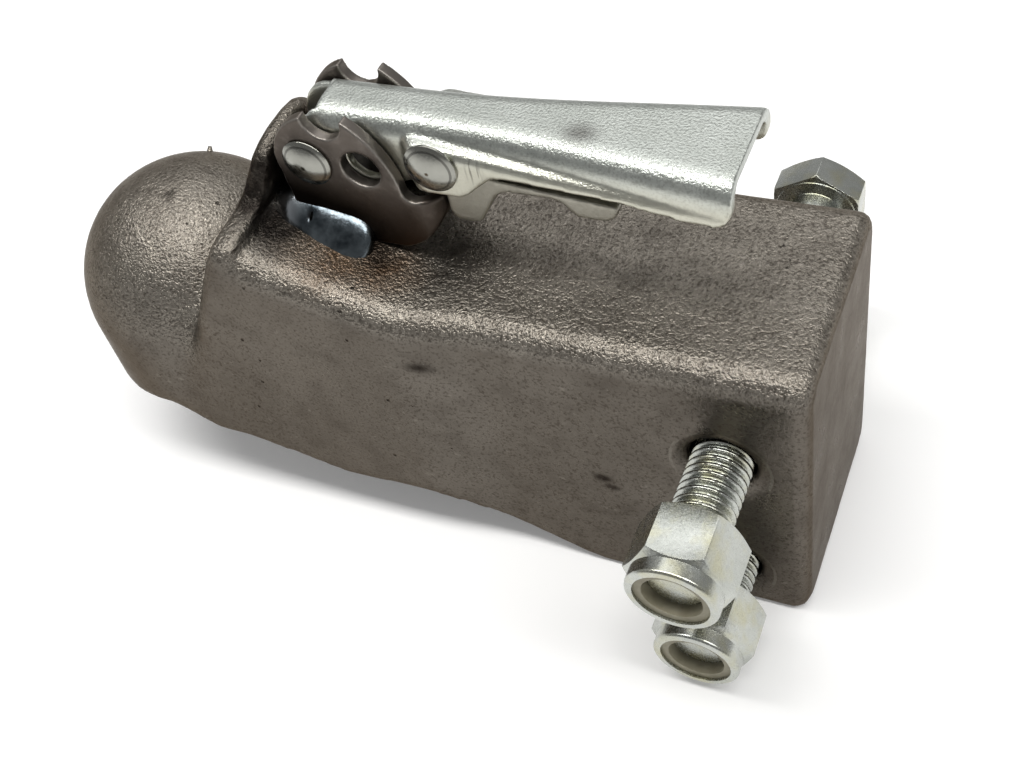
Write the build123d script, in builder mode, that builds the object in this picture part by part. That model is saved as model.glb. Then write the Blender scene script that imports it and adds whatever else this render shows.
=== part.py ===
"""Trailer coupling head: cast body, sprung latch handle with trigger, ball clamp and tongue bolts.

Millimetres. Origin at the centre of the tow ball, X to the rear, Y to the far side, Z up.
"""

import os
from math import atan, cos, degrees, radians, sin, sqrt

from build123d import *

os.makedirs("parts", exist_ok=True)

# Tow ball, socket and dome
ball_diameter = 58.74
socket_clearance = 0.55
dome_wall = 6.8
skirt_depth = 23.5
skirt_flare = 0.2
rim_round = 4.0

# Cast body
body_width = 65.0
cheek_width = 72.0
body_rear = 195.0
deck_height = 36.4
body_floor = 55.4
cheek_floor = 37.5
body_wall = 8.0
deck_wall = 8.5
rear_wall = 10.0
deck_round = 7.5
front_round = 5.0
rear_round = 3.5
rib_thickness = 8.0
rib_set = 50.0

# Ramped pad and collar
ramp_slope = 0.27
ramp_run = 27.0
collar_rise = 31.2
collar_thickness = 4.6
collar_top_half = 13.0
collar_round = 1.8

# Latch layout, from the handle's pivot
pivot_behind_socket = 35.1
pivot_rise = 28.6
trigger_pin_back = 35.3
trigger_pin_up = 4.0
lock_hole_back = 14.9
lock_hole_down = 0.3
lock_hole_diameter = 10.6
crank_radius = 10.0
crank_angle = -60.0

# Latch bracket
plate_gap = 17.6
plate_thickness = 3.4
bracket_length = 34.2
bridge_drop = 8.6
bridge_bend = 7.0
plate_lobe = 9.8

# Handle
handle_sheet = 2.6
handle_side_clearance = 0.3
handle_top_rise = 13.0
handle_length = 109.0
handle_tail_width = 33.0
handle_crown_tail = 32.0
handle_waist_width = 24.0
handle_bend = 6.0
flange_bend = 2.6
step_run = 5.0
step_drop = 2.2
step_fall = 5.2
tail_fall = 7.2
nose_radius = 10.0

# Trigger
trigger_sheet = 2.2
trigger_clearance = 1.1
trigger_hub = 4.8
trigger_shelf = 3.6
shelf_slope = 0.1
catch_clearance = 0.5
catch_depth = 20.0
finger_drop = 13.0
trigger_length = 44.5

# Rivets and pins
rivet_diameter = 8.0
rivet_head_diameter = 13.6
rivet_head_height = 2.5
trigger_pin_diameter = 7.0
link_pin_diameter = 8.0
pin_clearance = 0.1

# Ball clamp and its pivot
clamp_behind_socket = 21.1
clamp_up = 6.0
clamp_arm = 22.0
clamp_arm_angle = -28.0
clamp_width = 31.0
clamp_hub = 10.0
clamp_pin_diameter = 12.0
cradle_clearance = 0.15
jaw_depth = 16.0
jaw_clearance = 1.6
ear_width = 24.0

# Draw link
link_width = 9.0
link_eye = 5.5
link_end = 7.2
link_side_clearance = 0.5
link_slack = 1.0
slot_margin = 2.0

# Springs
clamp_spring_diameter = 11.0
clamp_spring_wire = 1.8
trigger_spring_diameter = 4.4
trigger_spring_wire = 0.9
spring_turns = 4.0
spring_seat = 0.3

# Tongue bolts and lock nuts
bolt_diameter = 15.875
bolt_hole_diameter = 17.5
spot_face_diameter = 24.0
spot_face_depth = 0.6
bolt_length = 127.0
bolt_head_height = 10.0
hex_flats = 23.81
washer_face = 0.4
bolt_spacing = 44.45
bolt_setback = 21.8
upper_bolt_up = 3.9
upper_bolt_stand = 26.8
lower_bolt_stand = 35.8
nut_height = 19.3
nut_collar_height = 4.3
nut_collar_set = 0.4
nut_collar_round = 1.0
nut_lip = 2.1
nut_recess = 3.6
nylon_width = 3.6
nylon_set = 0.8
nylon_hold = 0.4
bolt_boss_wall = 5.5

# Weld beads
weld_length = 27.0
weld_radius = 5.2

# Values that follow from the sizes above
socket_radius = ball_diameter / 2 + socket_clearance
dome_radius = socket_radius + dome_wall
pivot_x = socket_radius + pivot_behind_socket
pivot_z = deck_height + pivot_rise
trigger_x = pivot_x + trigger_pin_back
trigger_z = pivot_z + trigger_pin_up
lock_x = pivot_x + lock_hole_back
lock_z = pivot_z - lock_hole_down
crank_x = pivot_x + crank_radius * cos(radians(crank_angle))
crank_z = pivot_z + crank_radius * sin(radians(crank_angle))
clamp_x = socket_radius + clamp_behind_socket
clamp_z = clamp_up
ear_x = clamp_x + clamp_arm * cos(radians(clamp_arm_angle))
ear_z = clamp_z + clamp_arm * sin(radians(clamp_arm_angle))
ramp_end = pivot_x + ramp_run
ramp_start = pivot_x - 21.0
ramp_top = deck_height + ramp_slope * (ramp_end - ramp_start)
brow_x = ramp_start - 2.6
brow_z = deck_height + ramp_slope * (ramp_end - brow_x)
ceiling = deck_height - deck_wall
cavity_rear = body_rear - rear_wall
plate_inner = plate_gap / 2
plate_outer = plate_inner + plate_thickness
bracket_rear = pivot_x + bracket_length
bridge_top = pivot_z - bridge_drop
handle_half = plate_inner - handle_side_clearance
handle_top = pivot_z + handle_top_rise
handle_tail = pivot_x + handle_length
web_under = handle_top - handle_sheet
trigger_half = handle_half - handle_sheet - trigger_clearance
link_half = handle_half - handle_sheet - link_side_clearance
bolt_x = body_rear - bolt_setback
bolt_play = (bolt_hole_diameter - bolt_diameter) / 2
bolt_drop = bolt_play - pin_clearance
lower_bolt_up = upper_bolt_up - bolt_spacing
nut_crown = hex_flats / 2 - nut_collar_set
collar_top = deck_height + collar_rise
far = 4 * body_rear


def ramp_z(x):
    """Height of the ramped pad at x."""
    return deck_height + ramp_slope * (ramp_end - x)


# Collar: the bell-shaped arch behind the dome, leaning back
with BuildPart() as collar:
    with BuildSketch(Plane.XZ):
        with BuildLine():
            foot = (pivot_x - 31.0, deck_height)
            crown = (pivot_x - 16.2, collar_top)
            ThreePointArc(foot, (pivot_x - 23.2, deck_height + 14.6), crown)
            rear_crown = (crown[0] + collar_thickness, collar_top)
            Line(crown, rear_crown)
            rear_foot = (ramp_start + 3.0, ramp_top - 3.0)
            ThreePointArc(rear_crown, (pivot_x - 12.9, deck_height + 22.0), rear_foot)
            Polyline(rear_foot, (rear_foot[0], deck_height), foot)
        make_face()
    extrude(amount=cheek_width, both=True)
    with BuildSketch(Plane.YZ):
        with BuildLine():
            half = cheek_width / 2
            FilletPolyline(
                (-half, 0.0),
                (-half, deck_height + 14.0),
                (-collar_top_half - 3.5, deck_height + 16.6),
                (-collar_top_half, collar_top),
                (collar_top_half, collar_top),
                (collar_top_half + 3.5, deck_height + 16.6),
                (half, deck_height + 14.0),
                (half, 0.0),
                radius=[0.0, 6.0, 6.0, 11.0, 11.0, 6.0, 6.0, 0.0],
                close=True,
            )
        make_face()
    extrude(amount=far, mode=Mode.INTERSECT)
    # Round the arch's front rim
    rim_edges = collar.faces().sort_by(Axis.X)[0].edges()
    fillet(rim_edges, collar_round)

# Inner hollow of the body, open below
with BuildPart() as hollow:
    with BuildSketch(Plane.XZ):
        with BuildLine():
            hollow_front = socket_radius + 6.5
            FilletPolyline(
                (hollow_front, -far),
                (hollow_front, ceiling - 6.0),
                (ramp_start + 3.0, ramp_top - deck_wall - 4.0),
                (ramp_end - 4.0, ceiling),
                (cavity_rear, ceiling),
                (cavity_rear, -far),
                radius=[0.0, 5.0, 6.0, 10.0, 5.0, 0.0],
                close=True,
            )
        make_face()
    extrude(amount=cheek_width, both=True)
    with BuildSketch(Plane.XY.offset(-far)):
        with BuildLine():
            inner_cheek = cheek_width / 2 - body_wall
            inner_body = body_width / 2 - body_wall
            FilletPolyline(
                (0.0, -inner_cheek),
                (ramp_end - 4.0, -inner_cheek),
                (ramp_end + 18.0, -inner_body),
                (body_rear, -inner_body),
                (body_rear, inner_body),
                (ramp_end + 18.0, inner_body),
                (ramp_end - 4.0, inner_cheek),
                (0.0, inner_cheek),
                radius=[0.0, 40.0, 40.0, 0.0, 0.0, 40.0, 40.0, 0.0],
                close=True,
            )
        make_face()
    extrude(amount=2 * far, mode=Mode.INTERSECT)

# Coupler body
with BuildPart() as coupler_body:
    with BuildSketch(Plane.XZ):
        with BuildLine():
            lower_front = (pivot_x - 62.2, -skirt_depth + 3.0)
            shoulder = (brow_x, brow_z)
            Line(lower_front, shoulder)
            top_line = FilletPolyline(
                shoulder,
                (ramp_end, deck_height),
                (body_rear, deck_height),
                radius=[30.0],
            )
            floor_line = FilletPolyline(
                (body_rear, -body_floor),
                (ramp_end + 42.0, -body_floor),
                (ramp_end - 4.0, -cheek_floor + 0.5),
                (pivot_x - 10.0, -cheek_floor - 0.5),
                (28.0, -skirt_depth - 6.5),
                (12.0, -skirt_depth - 5.5),
                (0.0, -skirt_depth),
                radius=[25.0, 30.0, 25.0, 25.0, 10.0],
            )
            Line(top_line @ 1, floor_line @ 0)
            Line(floor_line @ 1, lower_front)
        make_face()
    extrude(amount=cheek_width, both=True)
    with BuildSketch(Plane.XY.offset(-far)):
        with BuildLine():
            FilletPolyline(
                (0.0, -dome_radius - 0.3),
                (pivot_x - 15.0, -cheek_width / 2),
                (ramp_end - 4.0, -cheek_width / 2),
                (ramp_end + 18.0, -body_width / 2),
                (body_rear, -body_width / 2),
                (body_rear, body_width / 2),
                (ramp_end + 18.0, body_width / 2),
                (ramp_end - 4.0, cheek_width / 2),
                (pivot_x - 15.0, cheek_width / 2),
                (0.0, dome_radius + 0.3),
                radius=[0.0, 100.0, 40.0, 40.0, 0.0, 0.0, 40.0, 40.0, 100.0, 0.0],
                close=True,
            )
        make_face()
    extrude(amount=2 * far, mode=Mode.INTERSECT)
    # Round the long top edges, then the rear end
    long_edges = []
    for edge in coupler_body.edges():
        run = (edge @ 1) - (edge @ 0)
        low = min((edge @ 0).Z, (edge @ 1).Z)
        if low > deck_height - 0.1 and abs(run.X) > abs(run.Y) and abs((edge @ 0).Y) > 1.0:
            long_edges.append(edge)
    fillet(long_edges, deck_round)
    rear_face = coupler_body.faces().sort_by(Axis.X)[-1]
    fillet(rear_face.edges(), rear_round)
    # Collar, then the front corners rounded along their lean
    add(collar.part)
    lean = (shoulder[0] - lower_front[0], 0.0, shoulder[1] - lower_front[1])
    corner = Plane(origin=(lower_front[0], 0.0, lower_front[1]), x_dir=(0, 1, 0), z_dir=lean)
    corner_in = cheek_width / 2 + 0.5 - front_round
    with BuildSketch(corner):
        with Locations((corner_in + front_round, 0.0), (-corner_in - front_round, 0.0)):
            Rectangle(2 * front_round, 2 * front_round)
        with Locations((corner_in, -front_round), (-corner_in, -front_round)):
            Circle(front_round, mode=Mode.SUBTRACT)
    extrude(amount=far, mode=Mode.SUBTRACT)
    # Dome and skirt
    with BuildSketch(Plane.XZ):
        with BuildLine():
            CenterArc((0, 0), dome_radius, 0, 90)
            rim = FilletPolyline(
                (dome_radius, 0.0),
                (dome_radius + skirt_flare, -skirt_depth),
                (0.0, -skirt_depth),
                radius=[rim_round],
            )
            Line((0.0, -skirt_depth), (0.0, dome_radius))
        make_face()
    revolve(axis=Axis.Z)
    add(hollow.part, mode=Mode.SUBTRACT)
    # Ball socket with its straight mouth, and the passage for the jaw
    Sphere(socket_radius, mode=Mode.SUBTRACT)
    with Locations((0, 0, -far / 2)):
        Cylinder(socket_radius, far, mode=Mode.SUBTRACT)
    jaw_gate = clamp_width / 2 + jaw_clearance
    with Locations((hollow_front / 2, 0, clamp_z - far / 2)):
        Box(hollow_front + 2.0, 2 * jaw_gate, far, mode=Mode.SUBTRACT)
    # Slot through the pad for the draw link
    slot_front = crank_x - link_width / 2 - slot_margin
    slot_rear = pivot_x + crank_radius + link_width / 2 + slot_margin
    with Locations(((slot_front + slot_rear) / 2, 0, deck_height)):
        Box(slot_rear - slot_front, 2 * link_half + 3.0, 4 * deck_wall, mode=Mode.SUBTRACT)
    # Cross rib and bolt bosses inside, and the cradles for the clamp pivot pin
    rib_height = ceiling + cheek_floor + deck_wall / 2
    with Locations((body_rear - rib_set, 0, ceiling + deck_wall / 2 - rib_height / 2)):
        Box(rib_thickness, body_width - body_wall, rib_height)
    for height in (upper_bolt_up, lower_bolt_up):
        with Locations(Plane.XZ.offset(0) * Pos(bolt_x, height, 0)):
            Cylinder(bolt_hole_diameter / 2 + bolt_boss_wall, body_width - body_wall)
    cradle_inner = clamp_width / 2 + 0.8
    cradle_outer = cheek_width / 2 - body_wall / 2
    cradle_front = clamp_x - clamp_pin_diameter / 4
    cradle_rear = clamp_x + clamp_pin_diameter / 2 + 5.0
    for side in (-1, 1):
        with Locations(
            (
                (cradle_front + cradle_rear) / 2,
                side * (cradle_inner + cradle_outer) / 2,
                clamp_z,
            )
        ):
            Box(cradle_rear - cradle_front, cradle_outer - cradle_inner, clamp_pin_diameter + 10.0)
    cradle_radius = clamp_pin_diameter / 2 + cradle_clearance
    pin_half = cheek_width / 2 - body_wall - 0.3
    with Locations(Plane.XZ * Pos(clamp_x, clamp_z, 0)):
        Cylinder(cradle_radius, 2 * pin_half + 0.4, mode=Mode.SUBTRACT)
    with Locations((clamp_x - cradle_radius / 2 - 2.0, 0, clamp_z)):
        Box(cradle_radius + 4.0, 2 * pin_half + 0.4, 2 * cradle_radius, mode=Mode.SUBTRACT)
    # Tongue bolt holes with their spot faces
    for height in (upper_bolt_up, lower_bolt_up):
        with Locations(Plane.XZ * Pos(bolt_x, height, 0)):
            Cylinder(bolt_hole_diameter / 2, far, mode=Mode.SUBTRACT)
        for side in (-1, 1):
            with Locations(Plane.XZ * Pos(bolt_x, height, side * body_width / 2)):
                Cylinder(spot_face_diameter / 2, 2 * spot_face_depth, mode=Mode.SUBTRACT)
coupler_body.part.label = "coupler_body"
export_step(coupler_body.part, "parts/coupler_body.step")

# Latch bracket: a U of strip, cut to its side outline
with BuildPart() as latch_bracket:
    with BuildSketch(Plane.XY):
        with BuildLine():
            FilletPolyline(
                (0.0, -plate_outer),
                (bracket_rear, -plate_outer),
                (bracket_rear, plate_outer),
                (0.0, plate_outer),
                radius=[0.0, bridge_bend, bridge_bend, 0.0],
                close=True,
            )
        make_face()
        with BuildLine():
            inner_bend = bridge_bend - plate_thickness
            FilletPolyline(
                (-10.0, -plate_inner),
                (bracket_rear - plate_thickness, -plate_inner),
                (bracket_rear - plate_thickness, plate_inner),
                (-10.0, plate_inner),
                radius=[0.0, inner_bend, inner_bend, 0.0],
                close=True,
            )
        make_face(mode=Mode.SUBTRACT)
    extrude(amount=far)
    with BuildSketch(Plane.XZ) as plate_outline:
        with BuildLine():
            front = (pivot_x - plate_lobe, pivot_z)
            lobe_tip = (pivot_x + 1.9, pivot_z + 13.8)
            peak = (pivot_x + 12.8, pivot_z + 14.1)
            cam_end = (pivot_x + 24.8, pivot_z - 6.8)
            notch_end = (pivot_x + 28.6, bridge_top)
            corner = (bracket_rear, bridge_top - 3.0)
            heel = (pivot_x + 22.0, ramp_z(pivot_x + 12.0))
            ThreePointArc(front, (pivot_x - 6.6, pivot_z + 7.9), lobe_tip)
            ThreePointArc(lobe_tip, (pivot_x + 6.8, pivot_z + 8.0), peak)
            ThreePointArc(peak, (pivot_x + 20.9, pivot_z + 5.8), cam_end)
            ThreePointArc(cam_end, (pivot_x + 25.7, bridge_top + 0.4), notch_end)
            Polyline(notch_end, (bracket_rear, bridge_top), corner)
            ThreePointArc(corner, (bracket_rear - 3.6, bridge_top - 10.0), heel)
            toe = (pivot_x - plate_lobe + 1.5, ramp_z(pivot_x - plate_lobe + 1.5))
            Polyline(heel, (pivot_x + 12.0, ramp_z(pivot_x + 12.0)), toe, front)
        make_face()
    extrude(amount=cheek_width, both=True, mode=Mode.INTERSECT)
    with Locations(Plane.XZ * Pos(pivot_x, pivot_z, 0)):
        Cylinder(rivet_diameter / 2 + pin_clearance, far, mode=Mode.SUBTRACT)
    with Locations(Plane.XZ * Pos(lock_x, lock_z, 0)):
        Cylinder(lock_hole_diameter / 2, far, mode=Mode.SUBTRACT)
latch_bracket.part.label = "latch_bracket"
export_step(latch_bracket.part, "parts/latch_bracket.step")

# Weld beads: rounded fillets between the plates and the pad
weld_mid = pivot_x - 1.0
weld_tilt = degrees(atan(ramp_slope))
with BuildPart() as weld_bead_near:
    with Locations((weld_mid, -plate_outer - 1.2, ramp_z(weld_mid))):
        Cylinder(weld_radius, weld_length - 2 * weld_radius, rotation=(0, 90 + weld_tilt, 0))
    for end in (-1, 1):
        reach = end * (weld_length / 2 - weld_radius) * cos(radians(weld_tilt))
        with Locations((weld_mid + reach, -plate_outer - 1.2, ramp_z(weld_mid + reach))):
            Sphere(weld_radius)
    with Locations((weld_mid, -plate_outer + far / 2, pivot_z)):
        Box(far, far, far, mode=Mode.SUBTRACT)
    with BuildSketch(Plane.XZ):
        with BuildLine():
            Polyline(
                (0.0, ramp_z(0.0)),
                (ramp_end, deck_height),
                (ramp_end, -far),
                (0.0, -far),
                close=True,
            )
        make_face()
    extrude(amount=cheek_width, both=True, mode=Mode.SUBTRACT)
weld_bead_near.part.label = "weld_bead_near"
export_step(weld_bead_near.part, "parts/weld_bead_near.step")

with BuildPart() as weld_bead_far:
    add(mirror(weld_bead_near.part, about=Plane.XZ))
weld_bead_far.part.label = "weld_bead_far"
export_step(weld_bead_far.part, "parts/weld_bead_far.step")

# Handle pivot: one rivet through both plates, with a shallow domed head each side
with BuildPart() as handle_pivot_pin:
    with BuildSketch(Plane.XY):
        with BuildLine():
            head = rivet_head_diameter / 2
            seat = plate_outer + 0.05
            crown = seat + rivet_head_height
            rise = rivet_head_height - 0.6
            dome = (head**2 + rise**2) / (2 * rise)
            brow = (head * 0.5, crown - dome + sqrt(dome**2 - head**2 / 4))
            ThreePointArc((0.0, -crown), (brow[0], -brow[1]), (head, -seat - 0.6))
            Polyline(
                (head, -seat - 0.6),
                (head, -seat),
                (rivet_diameter / 2, -seat),
                (rivet_diameter / 2, seat),
                (head, seat),
                (head, seat + 0.6),
            )
            ThreePointArc((head, seat + 0.6), brow, (0.0, crown))
            Line((0.0, crown), (0.0, -crown))
        make_face()
    revolve(axis=Axis.Y)
handle_pivot_pin.part.position = (pivot_x, 0, pivot_z)
handle_pivot_pin.part.label = "handle_pivot_pin"
export_step(handle_pivot_pin.part, "parts/handle_pivot_pin.step")

# Handle: a rounded crown over a wider flange band, first as outer and inner forms
step_start = bracket_length - 9.0
crown_tail_half = handle_crown_tail / 2
tail_half = handle_tail_width / 2
waist_half = handle_waist_width / 2
waist_end = trigger_x + rivet_head_diameter / 2 + 1.5


def crown_form(inset):
    """Closed form of the handle's crown, drawn in by the sheet's inset."""
    with BuildPart() as form:
        with BuildSketch(Plane.XY):
            with BuildLine():
                nose = (pivot_x - 30.0, handle_half - inset)
                start = (pivot_x + step_start, handle_half - inset)
                tail = (handle_tail + inset * 4, crown_tail_half - inset)
                Line(nose, start)
                Spline(start, tail, tangents=((1, 0), (1, 0.1)))
                Polyline(tail, (tail[0], 0.0), (nose[0], 0.0), nose)
            make_face()
            mirror(about=Plane.XZ)
        extrude(amount=handle_top - inset)
        top = form.faces().sort_by(Axis.Z)[-1]
        long_side = [e for e in top.edges() if abs(((e @ 1) - (e @ 0)).X) > 1.0]
        fillet(long_side, handle_bend - inset)
    return form.part


def flange_form(inset):
    """Closed form of the wider flange band, drawn in by the sheet's inset."""
    with BuildPart() as form:
        with BuildSketch(Plane.XY):
            with BuildLine():
                root = handle_half - 1.0 - inset
                shift = inset * 0.4
                band_end = handle_tail + inset * 4
                FilletPolyline(
                    (pivot_x + step_start - 3.0 + shift, 0.0),
                    (pivot_x + step_start - 3.0 + shift, root),
                    (pivot_x + step_start + shift, root),
                    (pivot_x + step_start + step_run + shift, waist_half - inset),
                    (waist_end, waist_half - inset),
                    (band_end, tail_half - inset),
                    (band_end, 0.0),
                    radius=[0.0, 0.0, 3.0, 4.0, 60.0, 0.0, 0.0],
                    close=True,
                )
            make_face()
            mirror(about=Plane.XZ)
        extrude(amount=handle_top)
        with BuildSketch(Plane.XZ):
            with BuildLine():
                band_front = (pivot_x + step_start - 10.0, handle_top - step_drop - inset)
                band_mid = (trigger_x + 18.0, handle_top - step_fall - inset)
                band_rear = (handle_tail + inset * 4 + 5.0, handle_top - tail_fall - inset)
                ThreePointArc(band_front, band_mid, band_rear)
                Polyline(band_rear, (band_rear[0], 0.0), (band_front[0], 0.0), band_front)
            make_face()
        extrude(amount=cheek_width, both=True, mode=Mode.INTERSECT)
        band_edges = []
        for edge in form.edges():
            low = min((edge @ 0).Z, (edge @ 1).Z)
            away = min(abs((edge @ 0).Y), abs((edge @ 1).Y))
            rear = (edge @ 0).X + (edge @ 1).X > 2 * (pivot_x + step_start + 0.2)
            if low > 1.0 and away > 1.0 and abs(((edge @ 1) - (edge @ 0)).X) > 0.3 and rear:
                band_edges.append(edge)
        if inset == 0.0:
            fillet(band_edges, flange_bend)
    return form.part


with BuildPart() as latch_handle:
    add(crown_form(0.0))
    add(flange_form(0.0))
    add(crown_form(handle_sheet), mode=Mode.SUBTRACT)
    add(flange_form(handle_sheet), mode=Mode.SUBTRACT)
    with BuildSketch(Plane.XZ):
        with BuildLine():
            crank_floor = crank_z - link_pin_diameter / 2 - 2.8
            rivet_floor = trigger_z - rivet_head_diameter / 2 - 2.0
            grip_floor = handle_top - 9.5
            tail_floor = handle_top - 11.0
            nose_front = pivot_x - nose_radius
            ThreePointArc(
                (nose_front, pivot_z),
                (pivot_x - nose_radius * sqrt(0.5), pivot_z + nose_radius * sqrt(0.5)),
                (pivot_x, pivot_z + nose_radius),
            )
            Polyline(
                (pivot_x, pivot_z + nose_radius),
                (pivot_x + 2.5, handle_top + 1.0),
                (handle_tail, handle_top + 1.0),
            )
            FilletPolyline(
                (handle_tail, handle_top + 1.0),
                (handle_tail, tail_floor),
                (handle_tail - 12.0, tail_floor),
                (handle_tail - 26.0, grip_floor),
                (trigger_x + 16.0, grip_floor),
                (trigger_x + 6.5, rivet_floor),
                (pivot_x + step_start, rivet_floor),
                (crank_x + 7.0, crank_floor),
                (nose_front, crank_floor),
                (nose_front, pivot_z),
                radius=[4.5, 8.0, 16.0, 8.0, 5.0, 4.0, 6.0, 7.0],
            )
        make_face()
    extrude(amount=cheek_width, both=True, mode=Mode.INTERSECT)
    with Locations((pivot_x + 2.5 - 20.0, 0, handle_top)):
        Box(40.0, 2 * (handle_half - handle_sheet), 4 * handle_bend, mode=Mode.SUBTRACT)
    with Locations(Plane.XZ * Pos(pivot_x, pivot_z, 0)):
        Cylinder(rivet_diameter / 2 + pin_clearance, far, mode=Mode.SUBTRACT)
    with Locations(Plane.XZ * Pos(trigger_x, trigger_z, 0)):
        Cylinder(trigger_pin_diameter / 2 + pin_clearance, far, mode=Mode.SUBTRACT)
    with Locations(Plane.XZ * Pos(crank_x, crank_z, 0)):
        Cylinder(link_pin_diameter / 2 + pin_clearance, far, mode=Mode.SUBTRACT)
    with Locations(Plane.XZ * Pos(lock_x, lock_z, 0)):
        Cylinder(lock_hole_diameter / 2 + pin_clearance, far, mode=Mode.SUBTRACT)
latch_handle.part.label = "latch_handle"
export_step(latch_handle.part, "parts/latch_handle.step")

# Trigger pin: a rivet across the handle's flanges, headed on the near side
with BuildPart() as trigger_pin:
    with BuildSketch(Plane.XY):
        with BuildLine():
            seat = waist_half + 0.05
            crown = seat + rivet_head_height
            tip = waist_half + 0.3
            brow = (head * 0.5, -crown + dome - sqrt(dome**2 - head**2 / 4))
            ThreePointArc((0.0, -crown), brow, (head, -seat - 0.6))
            Polyline(
                (head, -seat - 0.6),
                (head, -seat),
                (trigger_pin_diameter / 2, -seat),
                (trigger_pin_diameter / 2, tip - 0.5),
                (trigger_pin_diameter / 2 - 0.5, tip),
                (0.0, tip),
                (0.0, -crown),
            )
        make_face()
    revolve(axis=Axis.Y)
trigger_pin.part.position = (trigger_x, 0, trigger_z)
trigger_pin.part.label = "trigger_pin"
export_step(trigger_pin.part, "parts/trigger_pin.step")

# Trigger: pressed trough with its catch in front and a finger lobe behind
catch_x = bracket_rear + catch_clearance
catch_floor = trigger_z - catch_depth
finger_floor = trigger_z - finger_drop
arch_floor = trigger_z - 8.4
trigger_tail = trigger_x + trigger_length
wide_half = waist_half - handle_sheet - trigger_clearance
shelf_lean = atan(shelf_slope)


def trigger_form(inset, lift):
    """Trigger's outline drawn in by inset, its top raised by lift, wider below the shelf."""
    hub_front = trigger_x - trigger_hub
    with BuildPart() as form:
        with BuildSketch(Plane.XZ):
            with BuildLine():
                FilletPolyline(
                    (hub_front + inset, trigger_z + trigger_hub + lift),
                    (hub_front + inset, trigger_z - 4.0 + inset),
                    (catch_x + inset, bridge_top + 1.5 + inset),
                    (catch_x + inset, catch_floor + inset),
                    (catch_x + 8.0 - inset, catch_floor + inset),
                    (trigger_x + 14.0 - inset * 0.5, arch_floor + inset),
                    (trigger_x + 30.0 + inset * 0.5, arch_floor + inset),
                    (trigger_x + 33.5 + inset * 0.5, finger_floor + inset),
                    (trigger_tail - inset, finger_floor + inset),
                    (trigger_tail - inset, trigger_z - 3.0 + lift),
                    (trigger_x + 9.0, trigger_z + 2.6 + lift),
                    (trigger_x + 3.0, trigger_z + trigger_hub + lift),
                    radius=[
                        3.0,
                        3.0,
                        0.6,
                        3.4 - inset,
                        3.4 - inset,
                        6.0,
                        5.0,
                        3.0,
                        4.5 - inset,
                        2.0,
                        4.0,
                        3.0,
                    ],
                    close=True,
                )
            make_face()
        extrude(amount=wide_half - inset, both=True)
        shelf = trigger_z - trigger_shelf - inset
        shelf_x = trigger_x + sin(shelf_lean) * far / 2
        shelf_z = shelf + cos(shelf_lean) * far / 2
        front_x = trigger_x - 2.0 + inset - far / 2
        front_z = trigger_z - 9.0 + far / 2
        for side in (-1, 1):
            side_y = side * (trigger_half - inset + far / 2)
            with Locations((shelf_x, side_y, shelf_z)):
                Box(far, far, far, rotation=(0, degrees(shelf_lean), 0), mode=Mode.SUBTRACT)
            with Locations((front_x, side_y, front_z)):
                Box(far, far, far, mode=Mode.SUBTRACT)
    return form.part


with BuildPart() as latch_trigger:
    add(trigger_form(0.0, 0.0))
    add(trigger_form(trigger_sheet, 30.0), mode=Mode.SUBTRACT)
    with Locations(Plane.XZ * Pos(trigger_x, trigger_z, 0)):
        Cylinder(trigger_pin_diameter / 2 + pin_clearance, far, mode=Mode.SUBTRACT)
latch_trigger.part.label = "latch_trigger"
export_step(latch_trigger.part, "parts/latch_trigger.step")

# Trigger spring: between the handle's web and the trough
spring_at = trigger_x + 22.0
with BuildPart() as trigger_spring:
    low = arch_floor + trigger_sheet + spring_seat + trigger_spring_wire / 2
    high = web_under - spring_seat - trigger_spring_wire / 2
    coil = (trigger_spring_diameter - trigger_spring_wire) / 2
    with BuildLine():
        Helix((high - low) / spring_turns, high - low, coil)
    with BuildSketch(Plane(origin=(coil, 0, 0), z_dir=(0, 1, 0))):
        Circle(trigger_spring_wire / 2)
    sweep(is_frenet=True)
trigger_spring.part.position = (spring_at, 0, low)
trigger_spring.part.label = "trigger_spring"
export_step(trigger_spring.part, "parts/trigger_spring.step")

# Draw link from the crank pin to the clamp's ears
with BuildPart() as draw_link:
    with BuildSketch(Plane.XZ):
        with Locations((crank_x, crank_z)):
            Circle(link_eye)
        with Locations((ear_x, ear_z)):
            Circle(link_end)
        with BuildLine():
            Line((crank_x, crank_z), (ear_x, ear_z))
        make_hull()
    extrude(amount=link_half, both=True)
    with BuildSketch(Plane.XZ):
        span = sqrt((crank_x - ear_x) ** 2 + (crank_z - ear_z) ** 2)
        lean = degrees(atan((ear_x - crank_x) / (crank_z - ear_z)))
        waist = span - 2 * link_end - 6.0
        for hand in (-1, 1):
            cut_x = (crank_x + ear_x) / 2 + hand * (link_width / 2 + link_end)
            with Locations((cut_x, (crank_z + ear_z) / 2)):
                SlotOverall(waist + 2 * link_end, 2 * link_end, rotation=90 + lean)
    extrude(amount=far, both=True, mode=Mode.SUBTRACT)
    with Locations(Plane.XZ * Pos(crank_x, crank_z, 0)):
        Cylinder(link_pin_diameter / 2 + pin_clearance, far, mode=Mode.SUBTRACT)
    with Locations(Plane.XZ * Pos(ear_x, ear_z, 0)):
        Cylinder(link_pin_diameter / 2 + link_slack, far, mode=Mode.SUBTRACT)
draw_link.part.label = "draw_link"
export_step(draw_link.part, "parts/draw_link.step")

with BuildPart() as link_pin_upper:
    with Locations(Plane.XZ * Pos(crank_x, crank_z, 0)):
        Cylinder(link_pin_diameter / 2, 2 * handle_half)
link_pin_upper.part.label = "link_pin_upper"
export_step(link_pin_upper.part, "parts/link_pin_upper.step")

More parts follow.
